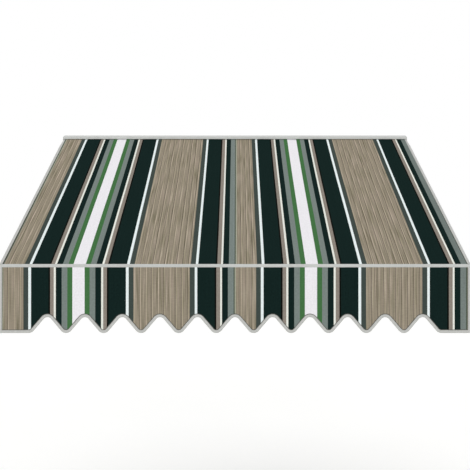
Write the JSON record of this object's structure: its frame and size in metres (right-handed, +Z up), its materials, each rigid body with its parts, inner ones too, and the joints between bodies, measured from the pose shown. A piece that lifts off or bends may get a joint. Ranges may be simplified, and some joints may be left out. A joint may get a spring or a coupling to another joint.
{
  "type": "folding-arm awning",
  "caption": "Retractable folding-arm awning: roller under a hood on a wall-mounted square bar, two folding arms, front bar, striped canopy and scalloped valance.",
  "frame": {"origin": "middle of the width on the wall plane, at the height of the torsion bar's axis (mount wall)", "axes": "+X runs along the awning's width, +Y points into the wall, +Z is up; the awning stands out from the wall towards -Y"},
  "size_m": [2.4122, 1.4973, 1.2046],
  "materials": {
    "profile_grey": "satin powder coat on aluminium, light grey",
    "bracket_grey": "satin powder coat on steel, light grey",
    "steel": "zinc-plated",
    "tube_steel": "galvanised",
    "black_plastic": "matte moulded",
    "cap_grey": "moulded, light grey",
    "spring_black": "satin black",
    "striped_cloth": "woven acrylic awning cloth with lengthwise stripes",
    "binding": "woven light grey tape",
    "keder": "light grey cord and hem"
  },
  "bodies": {
    "frame": {"arm_mount_left": "profile_grey", "arm_mount_right": "profile_grey", "bar_plug_left": "black_plastic", "bar_plug_right": "black_plastic", "bracket_jaw_left": "bracket_grey", "bracket_jaw_right": "bracket_grey", "canopy": "striped_cloth", "canopy_binding_left": "binding", "canopy_binding_right": "binding", "end_plate_left": "profile_grey", "end_plate_right": "profile_grey", "hood": "profile_grey", "idler_pin": "steel", "pitch_bolt_left": "steel", "pitch_bolt_right": "steel", "pitch_pin_left": "steel", "pitch_pin_right": "steel", "shoulder_pin_left": "steel", "shoulder_pin_right": "steel", "shoulder_yoke_left": "profile_grey", "shoulder_yoke_right": "profile_grey", "torsion_bar": "tube_steel", "tube_motor": "black_plastic", "wall_bracket_left": "bracket_grey", "wall_bracket_right": "bracket_grey"},
    "roller": {"roller_tube": "tube_steel", "canopy_turns": "striped_cloth", "motor_crown": "black_plastic", "drive_wheel": "black_plastic", "idler_cap": "black_plastic"},
    "rear_arm_left_body": {"shoulder_knuckle_left": "profile_grey", "rear_arm_left": "profile_grey", "elbow_fork_left": "profile_grey", "elbow_pin_left": "steel"},
    "front_arm_left_body": {"elbow_knuckle_left": "profile_grey", "front_arm_left": "profile_grey", "wrist_knuckle_left": "profile_grey", "arm_spring_left": "spring_black"},
    "rear_arm_right_body": {"shoulder_knuckle_right": "profile_grey", "rear_arm_right": "profile_grey", "elbow_fork_right": "profile_grey", "elbow_pin_right": "steel"},
    "front_arm_right_body": {"elbow_knuckle_right": "profile_grey", "front_arm_right": "profile_grey", "wrist_knuckle_right": "profile_grey", "arm_spring_right": "spring_black"},
    "front_bar_body": {"front_bar": "profile_grey", "front_cap_left": "cap_grey", "front_cap_right": "cap_grey", "valance": "striped_cloth", "valance_binding": "binding", "valance_keder": "keder", "wrist_pin_left": "steel", "wrist_pin_right": "steel", "wrist_shoe_left": "profile_grey", "wrist_shoe_right": "profile_grey"}
  },
  "joints": [
    {"name": "shoulder_left", "type": "hinge", "parent": "frame", "child": "rear_arm_left_body", "pos_m": [-1.08, -0.12808, -0.04869], "axis": [0, -0.512, 0.859], "range_deg": [0, 69.6], "deforming": ["canopy", "canopy_binding_left", "canopy_binding_right"]},
    {"name": "elbow_left", "type": "hinge", "parent": "rear_arm_left_body", "child": "front_arm_left_body", "pos_m": [-0.82879, -0.78054, -0.43763], "axis": [0, -0.512, 0.859], "range_deg": [-139.2, 0]},
    {"name": "wrist_left", "type": "hinge", "parent": "front_arm_left_body", "child": "front_bar_body", "pos_m": [-1.08, -1.433, -0.82657], "axis": [0, -0.512, 0.859], "range_deg": [0, 69.6]},
    {"name": "shoulder_right", "type": "hinge", "parent": "frame", "child": "rear_arm_right_body", "pos_m": [1.08, -0.12808, -0.04869], "axis": [0, -0.512, 0.859], "range_deg": [-69.6, 0]},
    {"name": "elbow_right", "type": "hinge", "parent": "rear_arm_right_body", "child": "front_arm_right_body", "pos_m": [0.82879, -0.78054, -0.43763], "axis": [0, -0.512, 0.859], "range_deg": [0, 139.2]},
    {"name": "roller_spin", "type": "hinge", "parent": "frame", "child": "roller", "pos_m": [0, -0.062, 0.08], "axis": [1, 0, 0], "range_deg": [-2189, 0]}
  ],
  "couplings": [
    {"joint": "elbow_left", "follows": "shoulder_left", "ratio": -2},
    {"joint": "wrist_left", "follows": "shoulder_left", "ratio": 1},
    {"joint": "shoulder_right", "follows": "shoulder_left", "ratio": -1},
    {"joint": "elbow_right", "follows": "shoulder_left", "ratio": 2},
    {"joint": "roller_spin", "follows": "shoulder_left", "ratio": -31.43}
  ]
}
